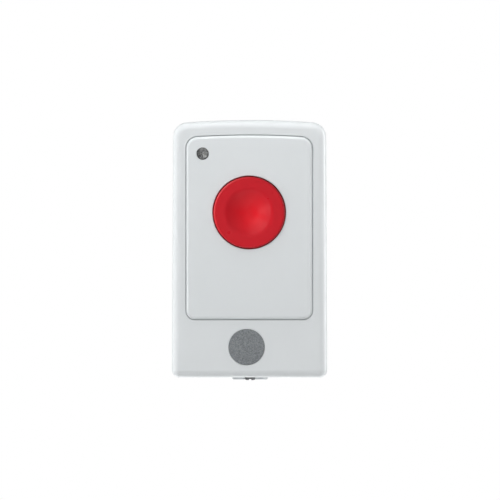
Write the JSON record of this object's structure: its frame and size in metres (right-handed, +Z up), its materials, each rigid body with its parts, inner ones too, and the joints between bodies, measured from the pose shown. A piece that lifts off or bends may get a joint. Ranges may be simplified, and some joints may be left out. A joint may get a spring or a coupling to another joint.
{
  "type": "wireless panic button",
  "caption": "Small white wall-mounted radio alarm call unit with an arched top, a dished red push button, an indicator window and a blank badge.",
  "frame": {"origin": "centre of the flat back, on the wall's plane", "axes": "+Z up, +Y into the wall, so the button's face looks along -Y; +X to the right as seen from the front"},
  "size_m": [0.0534, 0.0224, 0.0893],
  "materials": {
    "case_white": "fine satin moulded plastic, faintly cool white",
    "case_rear_white": "fine satin moulded plastic",
    "panel_white": "smooth satin plastic",
    "badge_grey": "satin grey disc with a fine grain",
    "button_red": "smooth red moulded plastic",
    "clear_lens": "clear moulded lens",
    "lamp_epoxy": "clear epoxy",
    "plated_steel": "bright zinc plate",
    "screw_steel": "dark zinc plate",
    "spring_steel": "drawn spring wire",
    "tinned_copper": "tinned",
    "board_green": "solder mask",
    "black_plastic": "moulded black plastic",
    "cell_steel": "nickel-plated steel",
    "can_aluminium": "bare can",
    "chip_ceramic": "ceramic",
    "chip_black": "film resistors",
    "enamelled_copper": "enamelled copper wire"
  },
  "bodies": {
    "root": {"front_cover": "case_white", "back_cover": "case_rear_white", "fascia_plate": "panel_white", "badge_disc": "badge_grey", "led_window": "clear_lens", "led_body": "lamp_epoxy", "led_leads": "tinned_copper", "return_spring": "spring_steel", "switch_base": "black_plastic", "switch_cover": "plated_steel", "switch_dome": "spring_steel", "switch_spring": "spring_steel", "switch_terminals": "tinned_copper", "circuit_board": "board_green", "pcb_screws": "plated_steel", "case_screw": "screw_steel", "cell_holder": "black_plastic", "coin_cell": "cell_steel", "positive_contact": "spring_steel", "negative_contact": "spring_steel", "controller_chip": "black_plastic", "controller_leads": "tinned_copper", "saw_resonator": "cell_steel", "crystal_can": "cell_steel", "antenna_coil": "enamelled_copper", "chip_resistors": "chip_black", "chip_capacitors": "chip_ceramic", "reservoir_capacitor": "can_aluminium"},
    "button": {"panic_button": "button_red", "switch_plunger": "black_plastic"}
  },
  "joints": [
    {"name": "button_press", "type": "slide", "parent": "root", "child": "button", "axis": [0, 1, 0], "range_m": [0, 0.0012], "stiffness_N_per_m": 1500, "springref_m": -0.001, "deforming": ["return_spring", "switch_spring", "switch_dome"]}
  ]
}
